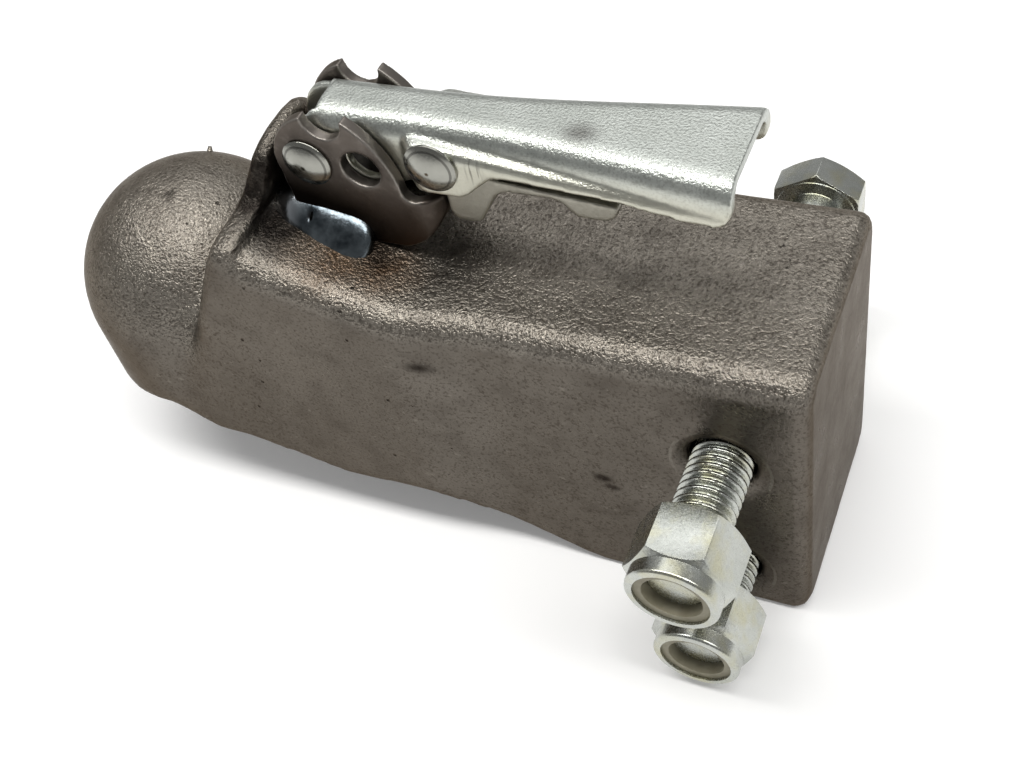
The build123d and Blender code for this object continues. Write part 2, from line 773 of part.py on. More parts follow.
with BuildPart() as link_pin_lower:
    with Locations(Plane.XZ * Pos(ear_x, ear_z, 0)):
        Cylinder(link_pin_diameter / 2, ear_width)
link_pin_lower.part.label = "link_pin_lower"
export_step(link_pin_lower.part, "parts/link_pin_lower.step")

# Ball clamp: jaw, hub and a pair of ears for the link
with BuildPart() as ball_clamp:
    with BuildSketch(Plane.XZ):
        with BuildLine():
            jaw_top = clamp_z - jaw_clearance
            ear_reach = link_pin_diameter / 2 + 3.6
            hub_top = clamp_z + clamp_hub - 2.0
            FilletPolyline(
                (socket_radius * 0.4, -jaw_depth),
                (socket_radius * 0.4, jaw_top),
                (clamp_x - 11.5, jaw_top),
                (clamp_x - 5.0, hub_top),
                (clamp_x + 14.0, hub_top),
                (ear_x + ear_reach, ear_z + ear_reach),
                (ear_x + ear_reach, ear_z - ear_reach),
                (ear_x - ear_reach, ear_z - ear_reach),
                (clamp_x - 3.0, clamp_z - clamp_hub - 4.0),
                (clamp_x - 9.0, -jaw_depth),
                radius=[0.0, 0.0, 3.0, 4.0, 3.0, 4.0, 4.0, 5.0, 6.0, 4.0],
                close=True,
            )
        make_face()
    extrude(amount=clamp_width / 2, both=True)
    Sphere(socket_radius, mode=Mode.SUBTRACT)
    ear_start = clamp_x + clamp_hub
    with Locations((ear_start + far / 2, 0, 0)):
        Box(far, 2 * (link_half + 0.5), far, mode=Mode.SUBTRACT)
    for side in (-1, 1):
        with Locations((ear_start + far / 2, side * (ear_width / 2 + far / 2), 0)):
            Box(far, far, far, mode=Mode.SUBTRACT)
    with Locations(Plane.XZ * Pos(clamp_x, clamp_z, 0)):
        Cylinder(clamp_pin_diameter / 2 + pin_clearance, far, mode=Mode.SUBTRACT)
    with Locations(Plane.XZ * Pos(ear_x, ear_z, 0)):
        Cylinder(link_pin_diameter / 2 + pin_clearance, far, mode=Mode.SUBTRACT)
ball_clamp.part.label = "ball_clamp"
export_step(ball_clamp.part, "parts/ball_clamp.step")

with BuildPart() as clamp_pivot_pin:
    with Locations(Plane.XZ * Pos(clamp_x, clamp_z, 0)):
        Cylinder(clamp_pin_diameter / 2, 2 * pin_half)
    chamfer(clamp_pivot_pin.edges().filter_by(GeomType.CIRCLE), 0.8)
clamp_pivot_pin.part.label = "clamp_pivot_pin"
export_step(clamp_pivot_pin.part, "parts/clamp_pivot_pin.step")

# Clamp spring: between the body's roof and the clamp's hub
with BuildPart() as clamp_spring:
    low = hub_top + spring_seat + clamp_spring_wire / 2
    high = ramp_z(clamp_x + 5.0) - deck_wall - 4.2 - spring_seat - clamp_spring_wire / 2
    coil = (clamp_spring_diameter - clamp_spring_wire) / 2
    with BuildLine():
        Helix((high - low) / spring_turns, high - low, coil)
    with BuildSketch(Plane(origin=(coil, 0, 0), z_dir=(0, 1, 0))):
        Circle(clamp_spring_wire / 2)
    sweep(is_frenet=True)
clamp_spring.part.position = (clamp_x + 5.0, 0, low)
clamp_spring.part.label = "clamp_spring"
export_step(clamp_spring.part, "parts/clamp_spring.step")


# Tongue bolts, lock nuts and nylon rings
def hex_bolt():
    """Bolt along +Z with the underside of its head at the origin."""
    corner = hex_flats / sqrt(3)
    with BuildPart() as bolt:
        with BuildSketch(Plane.XY):
            RegularPolygon(corner, 6, rotation=30)
        extrude(amount=bolt_head_height)
        with BuildSketch(Plane.XZ):
            with BuildLine():
                Polyline(
                    (0.0, 0.0),
                    (hex_flats / 2 - 0.5, 0.0),
                    (hex_flats / 2 - 0.5, washer_face),
                    (corner - 0.8, washer_face),
                    (corner + 0.2, washer_face + 0.8),
                    (corner + 0.2, bolt_head_height - 1.4),
                    (hex_flats / 2 - 0.6, bolt_head_height),
                    (0.0, bolt_head_height),
                    close=True,
                )
            make_face()
        revolve(axis=Axis.Z, mode=Mode.INTERSECT)
        with Locations((0, 0, -bolt_length / 2)):
            Cylinder(bolt_diameter / 2, bolt_length)
        tip = bolt.edges().sort_by(Axis.Z)[0]
        chamfer(tip, 1.4)
    return bolt.part


def lock_nut():
    """Lock nut along -Z with its bearing face at the origin."""
    corner = hex_flats / sqrt(3)
    shoulder = nut_height - nut_collar_height
    bend = nut_collar_round
    mouth = nut_crown - nut_lip
    with BuildPart() as nut:
        with BuildSketch(Plane.XY):
            RegularPolygon(corner, 6)
        extrude(amount=-nut_height)
        with BuildSketch(Plane.XZ):
            with BuildLine():
                Polyline(
                    (0.0, 0.0),
                    (hex_flats / 2 - 0.3, 0.0),
                    (corner + 0.2, -1.4),
                    (corner + 0.2, -shoulder + 1.6),
                    (nut_crown, -shoulder),
                    (nut_crown, -nut_height + bend),
                )
                TangentArc((nut_crown, -nut_height + bend), (nut_crown - bend, -nut_height), tangent=(0, -1))
                Polyline((nut_crown - bend, -nut_height), (0.0, -nut_height), (0.0, 0.0))
            make_face()
        revolve(axis=Axis.Z, mode=Mode.INTERSECT)
        with Locations((0, 0, -nut_height / 2)):
            Cylinder(bolt_diameter / 2 + pin_clearance, 2 * nut_height, mode=Mode.SUBTRACT)
        with Locations((0, 0, -nut_height)):
            Cylinder(mouth, 2 * nylon_set, mode=Mode.SUBTRACT)
        with Locations((0, 0, -nut_height + nylon_set + nylon_width / 2)):
            Cylinder(mouth + nylon_hold, nylon_width, mode=Mode.SUBTRACT)
    return nut.part


def nylon_ring():
    """Nylon ring that fills the groove in the lock nut's collar."""
    ring_radius = nut_crown - nut_lip + nylon_hold - pin_clearance / 2
    with BuildPart() as ring:
        with Locations((0, 0, -nut_height + nylon_set + nylon_width / 2)):
            Cylinder(ring_radius, nylon_width - pin_clearance)
            Cylinder(bolt_diameter / 2 - 0.5, 2 * nylon_width, mode=Mode.SUBTRACT)
    return ring.part


# The bolts lie on the lower side of their holes, heads on the far side
head_turn = Rotation(-90, 0, 0)
bolt_half = body_width / 2

with BuildPart() as bolt_upper:
    upper_head = bolt_half + upper_bolt_stand
    add(Pos(bolt_x, upper_head, upper_bolt_up - bolt_drop) * head_turn * hex_bolt())
bolt_upper.part.label = "bolt_upper"
export_step(bolt_upper.part, "parts/bolt_upper.step")

with BuildPart() as bolt_lower:
    lower_head = bolt_half + lower_bolt_stand
    add(Pos(bolt_x, lower_head, lower_bolt_up - bolt_drop) * head_turn * hex_bolt())
bolt_lower.part.label = "bolt_lower"
export_step(bolt_lower.part, "parts/bolt_lower.step")

upper_nut_y = upper_head - bolt_length + nut_height - nut_recess
lower_nut_y = lower_head - bolt_length + nut_height - nut_recess

with BuildPart() as lock_nut_upper:
    add(Pos(bolt_x, upper_nut_y, upper_bolt_up - bolt_drop) * head_turn * lock_nut())
lock_nut_upper.part.label = "lock_nut_upper"
export_step(lock_nut_upper.part, "parts/lock_nut_upper.step")

with BuildPart() as lock_nut_lower:
    add(Pos(bolt_x, lower_nut_y, lower_bolt_up - bolt_drop) * head_turn * lock_nut())
lock_nut_lower.part.label = "lock_nut_lower"
export_step(lock_nut_lower.part, "parts/lock_nut_lower.step")

with BuildPart() as nylon_ring_upper:
    add(Pos(bolt_x, upper_nut_y, upper_bolt_up - bolt_drop) * head_turn * nylon_ring())
nylon_ring_upper.part.label = "nylon_ring_upper"
export_step(nylon_ring_upper.part, "parts/nylon_ring_upper.step")

with BuildPart() as nylon_ring_lower:
    add(Pos(bolt_x, lower_nut_y, lower_bolt_up - bolt_drop) * head_turn * nylon_ring())
nylon_ring_lower.part.label = "nylon_ring_lower"
export_step(nylon_ring_lower.part, "parts/nylon_ring_lower.step")
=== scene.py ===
"""Looks of the trailer coupling head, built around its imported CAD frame."""

import math

import bpy
from mathutils import Matrix, Vector
from mathutils.kdtree import KDTree


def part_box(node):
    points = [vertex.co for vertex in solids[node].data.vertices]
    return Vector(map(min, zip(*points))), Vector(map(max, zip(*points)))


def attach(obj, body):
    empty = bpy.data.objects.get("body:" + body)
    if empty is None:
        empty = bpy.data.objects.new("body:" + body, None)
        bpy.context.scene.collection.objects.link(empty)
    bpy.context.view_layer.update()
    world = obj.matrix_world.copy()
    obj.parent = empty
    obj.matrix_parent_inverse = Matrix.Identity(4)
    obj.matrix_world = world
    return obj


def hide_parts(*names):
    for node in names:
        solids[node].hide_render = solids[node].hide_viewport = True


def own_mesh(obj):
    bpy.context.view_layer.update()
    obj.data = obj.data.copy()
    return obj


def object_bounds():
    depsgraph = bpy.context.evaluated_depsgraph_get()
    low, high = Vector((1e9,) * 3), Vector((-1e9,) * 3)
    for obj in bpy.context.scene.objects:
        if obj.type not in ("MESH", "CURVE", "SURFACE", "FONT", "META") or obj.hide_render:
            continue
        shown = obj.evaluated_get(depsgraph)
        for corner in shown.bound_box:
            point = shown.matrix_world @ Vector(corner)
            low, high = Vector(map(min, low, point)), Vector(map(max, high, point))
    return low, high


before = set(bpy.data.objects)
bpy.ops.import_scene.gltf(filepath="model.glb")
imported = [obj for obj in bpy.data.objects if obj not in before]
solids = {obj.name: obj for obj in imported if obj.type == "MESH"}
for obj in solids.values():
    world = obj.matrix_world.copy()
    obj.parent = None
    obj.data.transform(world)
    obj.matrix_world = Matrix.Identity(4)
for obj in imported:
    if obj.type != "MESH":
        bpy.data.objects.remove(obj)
cad_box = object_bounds()


# Cast body
# One iron sand casting: dome over the tow ball, collar, ramped pad and a straight tongue block.
# It leaves the mould with a coarse grained top, smoother sides with pits, and stays unpainted.
def start_material(name):
    """New material, with its node tree and its main shader."""
    material = bpy.data.materials.new(name)
    material.use_nodes = True
    tree = material.node_tree
    return material, tree, tree.nodes["Principled BSDF"]


def feed(tree, socket, value):
    """Joins a socket to another node's output, or sets it to a plain value."""
    if isinstance(value, bpy.types.NodeSocket):
        tree.links.new(value, socket)
    elif isinstance(value, (tuple, list)) and len(value) == 3 and socket.type == "RGBA":
        socket.default_value = (*value, 1.0)
    else:
        socket.default_value = value


def place(tree, kind="Object"):
    """Texture coordinates of a kind, by default the object's own, in metres."""
    return tree.nodes.new("ShaderNodeTexCoord").outputs[kind]


def parts(tree, vector):
    """A vector's three parts, by their letters."""
    made = tree.nodes.new("ShaderNodeSeparateXYZ")
    feed(tree, made.inputs[0], vector)
    return made.outputs


def noise(tree, where, scale, detail=4.0, rough=0.55):
    """Cloudy noise from 0 to 1."""
    made = tree.nodes.new("ShaderNodeTexNoise")
    feed(tree, made.inputs["Vector"], where)
    made.inputs["Scale"].default_value = scale
    made.inputs["Detail"].default_value = detail
    made.inputs["Roughness"].default_value = rough
    return made.outputs["Fac"]


def ramp(tree, value, *stops):
    """Colours along a value, each stop a place and a grey or a colour."""
    made = tree.nodes.new("ShaderNodeValToRGB")
    feed(tree, made.inputs["Fac"], value)
    marks = made.color_ramp.elements
    while len(marks) < len(stops):
        marks.new(0.5)
    for mark, (at, shade) in zip(marks, stops):
        mark.position = at
        mark.color = (*shade, 1.0) if isinstance(shade, tuple) else (shade, shade, shade, 1.0)
    return made.outputs["Color"]


def blend(tree, share, first, second):
    """Mixes two colours by a share."""
    made = tree.nodes.new("ShaderNodeMixRGB")
    feed(tree, made.inputs["Fac"], share)
    feed(tree, made.inputs["Color1"], first)
    feed(tree, made.inputs["Color2"], second)
    return made.outputs["Color"]


def sums(tree, way, first, second=0.0):
    """One arithmetic step, held between 0 and 1."""
    made = tree.nodes.new("ShaderNodeMath")
    made.operation = way
    made.use_clamp = True
    feed(tree, made.inputs[0], first)
    feed(tree, made.inputs[1], second)
    return made.outputs[0]


def bump(tree, height, depth, under=None):
    """Surface relief of a depth in metres, laid over another relief."""
    made = tree.nodes.new("ShaderNodeBump")
    made.inputs["Strength"].default_value = 1.0
    made.inputs["Distance"].default_value = depth
    feed(tree, made.inputs["Height"], height)
    if under is not None:
        feed(tree, made.inputs["Normal"], under)
    return made.outputs["Normal"]


def distance_from(tree, where, point, stretch):
    """Distance from a point, stretched along each axis."""
    shift = tree.nodes.new("ShaderNodeMapping")
    feed(tree, shift.inputs["Vector"], where)
    shift.inputs["Location"].default_value = [-p * s for p, s in zip(point, stretch)]
    shift.inputs["Scale"].default_value = stretch
    far = tree.nodes.new("ShaderNodeVectorMath")
    far.operation = "LENGTH"
    feed(tree, far.inputs[0], shift.outputs["Vector"])
    return far.outputs["Value"]


def near_point(tree, where, point, stretch, reach):
    """1 at a point, falling to 0 at reach, with the distance stretched along each axis."""
    fade = tree.nodes.new("ShaderNodeMapRange")
    fade.interpolation_type = "SMOOTHSTEP"
    feed(tree, fade.inputs["Value"], distance_from(tree, where, point, stretch))
    fade.inputs["From Min"].default_value = 0.0
    fade.inputs["From Max"].default_value = reach
    fade.inputs["To Min"].default_value = 1.0
    fade.inputs["To Max"].default_value = 0.0
    return fade.outputs["Result"]


def upward(tree):
    """1 on faces that look up, 0 on walls and below."""
    return sums(tree, "ADD", parts(tree, place(tree, "Normal"))["Z"])


def edit_all(step, **how):
    """Takes one edit step on the whole of the active mesh."""
    bpy.ops.object.mode_set(mode="EDIT")
    bpy.ops.mesh.select_all(action="SELECT")
    step(**how)
    bpy.ops.object.mode_set(mode="OBJECT")


def copy_solid(node, name):
    """A copy of a CAD node's mesh with its loose triangles joined, selected and active."""
    bpy.ops.object.select_all(action="DESELECT")
    piece = solids[node].copy()
    piece.data = solids[node].data.copy()
    piece.name = name
    piece.data.name = name
    piece.parent = None
    for key in list(piece.keys()):
        del piece[key]
    bpy.context.scene.collection.objects.link(piece)
    piece.select_set(True)
    bpy.context.view_layer.objects.active = piece
    piece.data.materials.clear()
    edit_all(bpy.ops.mesh.remove_doubles, threshold=0.00001)
    return piece


def finish_piece(piece, body, material, node):
    """Gives a piece its material and its body, and hides the CAD node that it stands for."""
    piece.data.materials.clear()
    piece.data.materials.append(material)
    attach(piece, body)
    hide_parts(node)


def apply_all(piece):
    """Applies a piece's modifiers in order."""
    bpy.context.view_layer.objects.active = piece
    for step in list(piece.modifiers):
        bpy.ops.object.modifier_apply(modifier=step.name)


def cloud(name, size):
    """Procedural cloud texture for a displacement, with lumps of a size in metres."""
    made = bpy.data.textures.new(name, "CLOUDS")
    made.noise_scale = size
    made.noise_depth = 2
    return made


def pits(tree, where, scale, reach, share):
    """Scattered pits, one in a share of the cells of a scale, up to reach of a cell wide."""
    cells = tree.nodes.new("ShaderNodeTexVoronoi")
    feed(tree, cells.inputs["Vector"], where)
    cells.inputs["Scale"].default_value = scale
    draw = parts(tree, cells.outputs["Color"])
    size = sums(tree, "MULTIPLY", draw["Y"], reach)
    hollow = ramp(tree, sums(tree, "DIVIDE", cells.outputs["Distance"], size), (0.5, 1.0), (0.95, 0.0))
    return sums(tree, "MULTIPLY", hollow, sums(tree, "LESS_THAN", draw["X"], share))


def warped(tree, where, scale, reach):
    """Coordinates pushed about by cloudy noise, up to a reach in metres."""
    clouds = tree.nodes.new("ShaderNodeTexNoise")
    feed(tree, clouds.inputs["Vector"], where)
    clouds.inputs["Scale"].default_value = scale
    push = tree.nodes.new("ShaderNodeVectorMath")
    push.operation = "MULTIPLY_ADD"
    feed(tree, push.inputs[0], clouds.outputs["Color"])
    push.inputs[1].default_value = (reach, reach, reach)
    feed(tree, push.inputs[2], where)
    return push.outputs["Vector"]


def skin(piece, voxel):
    """Rebuilds a piece as an even skin of small squares."""
    grid = piece.modifiers.new("skin", "REMESH")
    grid.mode = "VOXEL"
    grid.voxel_size = voxel
    grid.use_smooth_shade = True
    apply_all(piece)


def ring(tree, where, axis, radius, width):
    """1 within a width of a circle round an axis along Y, and 0 elsewhere."""
    made = tree.nodes.new("ShaderNodeMath")
    made.operation = "COMPARE"
    feed(tree, made.inputs[0], distance_from(tree, where, axis, (1.0, 0.0, 1.0)))
    made.inputs[1].default_value = radius
    made.inputs[2].default_value = width
    return made.outputs[0]


def scatter(spots):
    """Search tree over a list of points."""
    made = KDTree(len(spots))
    for index, spot in enumerate(spots):
        made.insert(spot, index)
    made.balance()
    return made


# The mould rounds every crease of the solid, but the drilled bolt holes keep their edges
casting_voxel = 0.00125
crease_turn = math.radians(25.0)
crease_step = 0.001
crease_reach = 0.005
crease_rounds = 18
hole_reach = 0.0105
bolt_axes = [(low + high) / 2 for low, high in (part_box("bolt_upper"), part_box("bolt_lower"))]
casting = copy_solid("coupler_body", "body_casting")
bpy.ops.object.mode_set(mode="EDIT")
bpy.ops.mesh.select_mode(type="EDGE")
bpy.ops.mesh.select_all(action="DESELECT")
bpy.ops.mesh.edges_select_sharp(sharpness=crease_turn)
bpy.ops.object.mode_set(mode="OBJECT")
crease_points = []
for line in casting.data.edges:
    if line.select:
        start, end = (casting.data.vertices[index].co for index in line.vertices)
        count = max(1, round((end - start).length / crease_step))
        for step in range(count + 1):
            spot = start.lerp(end, step / count)
            if all(math.hypot(spot.x - axis.x, spot.z - axis.z) > hole_reach for axis in bolt_axes):
                crease_points.append(spot)

# The deep valley between the dome and the cheeks is rounded wider
valley_x = (-0.005, 0.045)
valley_z = (-0.024, 0.034)
valley_side = 0.014
valley_reach = 0.011
valley_rounds = 70
valley_points = [
    spot
    for spot in crease_points
    if abs(spot.y) > valley_side
    and valley_x[0] < spot.x < valley_x[1]
    and valley_z[0] < spot.z < valley_z[1]
]

creases = scatter(crease_points)
valley = scatter(valley_points)
skin(casting, casting_voxel)
soft = casting.vertex_groups.new(name="soft")
blend_in = casting.vertex_groups.new(name="valley")
for point in casting.data.vertices:
    gap = creases.find(point.co)[2]
    if gap < crease_reach:
        soft.add([point.index], 1.0 - gap / crease_reach, "REPLACE")
    gap = valley.find(point.co)[2]
    if gap < valley_reach:
        blend_in.add([point.index], 1.0 - gap / valley_reach, "REPLACE")
for group, rounds in (("valley", valley_rounds), ("soft", crease_rounds)):
    melt = casting.modifiers.new("melt_" + group, "SMOOTH")
    melt.vertex_group = group
    melt.factor = 0.5
    melt.iterations = rounds
for lump, size, depth in (("waves", 0.014, 0.00012), ("sand", 0.003, 0.00005)):
    relief = casting.modifiers.new(lump, "DISPLACE")
    relief.texture = cloud(lump, size)
    relief.texture_coords = "LOCAL"
    relief.strength = depth
    relief.mid_level = 0.5
apply_all(casting)

# A stub of the feeder stands on the dome, just over its top
stub = Vector((-0.0029, 0.0241, 0.0275))
stub_foot = 0.0013
stub_tip = 0.0005
stub_height = 0.003
bpy.ops.object.select_all(action="DESELECT")
bpy.ops.mesh.primitive_cone_add(
    vertices=12,
    radius1=stub_foot,
    radius2=stub_tip,
    depth=stub_height,
    location=stub,
)
nub = bpy.context.object
nub.rotation_euler = stub.to_track_quat("Z", "Y").to_euler()
bpy.ops.object.transform_apply(location=True, rotation=True, scale=True)
bpy.ops.object.shade_smooth()
casting.select_set(True)
bpy.context.view_layer.objects.active = casting
bpy.ops.object.join()

iron, tree, shade = start_material("sand_cast_iron")
where = place(tree)
top = ramp(tree, upward(tree), (0.15, 0.0), (0.6, 1.0))
grain = noise(tree, where, 1250.0, 2.0, 0.6)
lumps = noise(tree, where, 420.0, 3.0, 0.6)
drift = noise(tree, where, 26.0, 4.0, 0.6)
stain = noise(tree, where, 95.0, 5.0, 0.65)
# Upward faces get a lighter tone: partly the blasted grain of the top and partly a painted highlight where
# the overhead light falls
walls = ramp(tree, drift, (0.3, (0.11, 0.098, 0.084)), (0.7, (0.148, 0.133, 0.115)))
deck_tone_and_highlight = ramp(tree, drift, (0.3, (0.2, 0.181, 0.154)), (0.7, (0.265, 0.242, 0.208)))
tone = blend(tree, top, walls, deck_tone_and_highlight)
tone = blend(tree, ramp(tree, stain, (0.48, 0.0), (0.78, 0.55)), tone, (0.062, 0.053, 0.045))
# Light specks on the grain's peaks of upward faces are painted glints
painted_glints = sums(tree, "MULTIPLY", ramp(tree, grain, (0.56, 0.0), (0.7, 0.4)), top)
tone = blend(tree, painted_glints, tone, (0.4, 0.37, 0.33))
# The grain's dimples are darkened: painted shade in the hollows
dimple_shade = ramp(tree, grain, (0.34, 0.7), (0.48, 0.0))
tone = blend(tree, dimple_shade, tone, (0.055, 0.046, 0.038))
scuffs = ramp(tree, noise(tree, warped(tree, where, 40.0, 0.012), 300.0, 3.0, 0.6), (0.66, 0.0), (0.74, 0.4))
tone = blend(tree, scuffs, tone, (0.24, 0.22, 0.19))

# Heat tint lies round the weld, with dark marks at the weld's ends, on the dome and on the near wall; under
# the bracket's feet and inside the collar the casting is darkened as painted shade
heat_brown = (0.14, 0.078, 0.038)
smudge_and_shade_black = (0.018, 0.015, 0.013)
patchy = ramp(tree, stain, (0.28, 0.45), (0.6, 1.0))
for point, stretch, reach, strength, colour in (
    ((0.07, -0.021, 0.043), (0.8, 1.0, 1.0), 0.017, 0.75, heat_brown),
    ((0.083, -0.019, 0.039), (0.9, 1.0, 1.0), 0.014, 0.85, heat_brown),
    # The next two are painted shade: under the bracket's front foot and the collar's inner side, and under
    # its rear foot
    ((0.052, -0.011, 0.052), (1.0, 0.7, 0.8), 0.018, 2.0, smudge_and_shade_black),
    ((0.099, -0.011, 0.037), (0.8, 1.0, 1.0), 0.014, 0.9, smudge_and_shade_black),
    ((0.081, -0.0165, 0.0425), (0.9, 0.8, 1.0), 0.0085, 1.5, smudge_and_shade_black),
    ((0.0515, -0.0165, 0.0475), (1.0, 0.9, 1.0), 0.0075, 1.5, smudge_and_shade_black),
    ((0.0958, -0.0345, 0.0209), (0.7, 0.5, 1.4), 0.0045, 1.0, smudge_and_shade_black),
    ((0.0046, -0.0043, 0.0362), (1.0, 1.0, 1.0), 0.0035, 0.9, smudge_and_shade_black),
    ((0.1405, -0.0325, -0.0131), (1.0, 0.5, 1.6), 0.0042, 1.2, smudge_and_shade_black),
    ((0.1428, -0.0325, -0.0165), (0.9, 0.5, 1.8), 0.0035, 1.2, smudge_and_shade_black),
):
    blotch_and_shade = sums(tree, "MULTIPLY", near_point(tree, where, point, stretch, reach), strength)
    tone = blend(tree, sums(tree, "MULTIPLY", blotch_and_shade, patchy), tone, colour)

# The nuts have scored a broken circle round each bolt hole
scar_radius = 0.0128
scar_width = 0.0004
broken = ramp(tree, stain, (0.46, 0.0), (0.52, 0.6))
for axis in bolt_axes:
    scar = sums(tree, "MULTIPLY", ring(tree, where, axis, scar_radius, scar_width), broken)
    tone = blend(tree, scar, tone, (0.2, 0.185, 0.16))

flecks = ramp(tree, noise(tree, where, 900.0, 3.0, 0.7), (0.66, 0.0), (0.74, 0.5))
tone = blend(tree, flecks, tone, (0.24, 0.225, 0.195))
uneven = warped(tree, where, 500.0, 0.0011)
hole = sums(tree, "ADD", pits(tree, uneven, 120.0, 0.1, 0.6), pits(tree, uneven, 300.0, 0.14, 0.36))
tone = blend(tree, sums(tree, "MULTIPLY", hole, 0.85), tone, smudge_and_shade_black)
feed(tree, shade.inputs["Base Color"], tone)
shade.inputs["Metallic"].default_value = 0.85
feed(tree, shade.inputs["Roughness"], ramp(tree, stain, (0.3, 0.25), (0.75, 0.36)))
shade.inputs["Specular Tint"].default_value = (0.42, 0.38, 0.34, 1.0)
blasted = ramp(tree, upward(tree), (0.0, 0.2), (0.45, 1.0))
normal = bump(tree, sums(tree, "MULTIPLY", grain, blasted), 0.00045)
normal = bump(tree, sums(tree, "MULTIPLY", lumps, blasted), 0.0003, normal)
normal = bump(tree, sums(tree, "SUBTRACT", 1.0, hole), 0.0004, normal)
feed(tree, shade.inputs["Normal"], normal)
finish_piece(casting, "head", iron, "coupler_body")


# Ball clamp and draw link
# A dark cast jaw rocks on a plain pin under the pad, and a forged link draws it up from the handle.
# The pins are ground steel; the clamp's and the trigger's coil springs are oiled wire.
def plain_metal(name, dark, light, rough, grain, depth, metallic=1.0):
    """Metal with drifting colour, uneven gloss and fine relief."""
    material, tree, shade = start_material(name)
    where = place(tree)
    drift = noise(tree, where, 60.0, 5.0, 0.6)
    fine = noise(tree, where, grain, 3.0, 0.6)
    feed(tree, shade.inputs["Base Color"], ramp(tree, drift, (0.3, dark), (0.7, light)))
    shade.inputs["Metallic"].default_value = metallic
    feed(tree, shade.inputs["Roughness"], ramp(tree, fine, (0.3, rough - 0.06), (0.7, rough + 0.08)))
    feed(tree, shade.inputs["Normal"], bump(tree, fine, depth))
    return material


def dress(node, material):
    """Puts a material on a CAD node that keeps its own shape."""
    solids[node].data.materials.clear()
    solids[node].data.materials.append(material)


dark_cast = plain_metal(
    "dark_cast",
    dark=(0.1, 0.09, 0.08),
    light=(0.18, 0.165, 0.15),
    rough=0.5,
    grain=800.0,
    depth=0.0004,
    metallic=0.8,
)
forged = plain_metal(
    "forged_steel",
    dark=(0.12, 0.115, 0.11),
    light=(0.2, 0.19, 0.18),
    rough=0.42,
    grain=900.0,
    depth=0.00015,
)
ground = plain_metal(
    "ground_pin",
    dark=(0.4, 0.39, 0.37),
    light=(0.55, 0.54, 0.52),
    rough=0.28,
    grain=2400.0,
    depth=0.00003,
)
wire = plain_metal(
    "spring_wire",
    dark=(0.2, 0.2, 0.2),
    light=(0.34, 0.34, 0.33),
    rough=0.33,
    grain=1500.0,
    depth=0.00004,
)
dress("ball_clamp", dark_cast)
dress("draw_link", forged)
for pin in ("clamp_pivot_pin", "link_pin_upper", "link_pin_lower"):
    dress(pin, ground)
for node, body, joint, keep in (
    ("clamp_spring", "head", "handle_lift", 0.6),
    ("trigger_spring", "handle", "trigger_squeeze", 0.5),
):
    coil = copy_solid(node, node + "_coil")
    bpy.ops.object.shade_smooth_by_angle(angle=math.radians(40.0))
    finish_piece(coil, body, wire, node)
    low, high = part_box(node)
    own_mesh(coil)


# Latch bracket
# A strip of plate bent to a U, its two cheeks cut to the lobed outline and welded to the pad.
# The rolled faces are dark and satin and darker towards the bottom, and the sheared edges brighter, with a
# painted highlight on their rounded rims.
def press(piece, voxel, rounds):
    """Rebuilds a pressed sheet as an even skin and rounds its bends and sheared edges."""
    skin(piece, voxel)
    ease = piece.modifiers.new("ease", "SMOOTH")
    ease.factor = 0.5
    ease.iterations = rounds
    apply_all(piece)


cheeks = copy_solid("latch_bracket", "bracket_cheeks")
press(cheeks, voxel=0.0005, rounds=5)
strip, tree, shade = start_material("rolled_strip")
where = place(tree)
drift = noise(tree, where, 70.0, 6.0, 0.62)
scale_spots = noise(tree, where, 260.0, 4.0, 0.6)
fine = noise(tree, where, 1400.0, 2.0, 0.5)
tone = ramp(tree, drift, (0.3, (0.068, 0.058, 0.051)), (0.7, (0.145, 0.127, 0.112)))
tone = blend(tree, ramp(tree, scale_spots, (0.55, 0.0), (0.72, 0.4)), tone, (0.2, 0.18, 0.16))
along = parts(tree, where)
decimetres = 10.0
height = sums(tree, "MULTIPLY", along["Z"], decimetres)
length = sums(tree, "MULTIPLY", along["X"], decimetres)
# The plate is darker towards the bottom
darker_low = sums(tree, "MULTIPLY", ramp(tree, height, (0.42, 1.0), (0.62, 0.0)), 0.85)
tone = blend(tree, darker_low, tone, (0.05, 0.032, 0.021))
slope = sums(tree, "ADD", height, sums(tree, "MULTIPLY", along["X"], 2.7))
burn = ramp(tree, slope, (0.7, 1.0), (0.8, 0.0))
burnt_run = ramp(tree, length, (0.74, 1.0), (0.88, 0.0))
burn = sums(tree, "MULTIPLY", burn, burnt_run)
tone = blend(tree, burn, tone, (0.014, 0.011, 0.009))
# Sheared edges are brighter bare metal, and their rounded rims get a painted highlight
sideways = sums(tree, "ABSOLUTE", parts(tree, place(tree, "Normal"))["Y"])
sheared_and_highlit = ramp(tree, sideways, (0.15, 0.4), (0.45, 1.0), (0.8, 1.0), (0.97, 0.0))
in_front = ramp(tree, length, (0.93, 1.0), (0.95, 0.0))
sheared_and_highlit = sums(tree, "MULTIPLY", sums(tree, "MULTIPLY", sheared_and_highlit, in_front), 0.75)
tone = blend(tree, sheared_and_highlit, tone, (0.3, 0.28, 0.255))
feed(tree, shade.inputs["Base Color"], tone)
shade.inputs["Metallic"].default_value = 0.9
shade.inputs["Specular IOR Level"].default_value = 0.2
shade.inputs["Specular Tint"].default_value = (0.4, 0.36, 0.32, 1.0)
feed(tree, shade.inputs["Roughness"], ramp(tree, scale_spots, (0.35, 0.44), (0.7, 0.33)))
normal = bump(tree, scale_spots, 0.0001)
feed(tree, shade.inputs["Normal"], bump(tree, fine, 0.00003, normal))
finish_piece(cheeks, "head", strip, "latch_bracket")


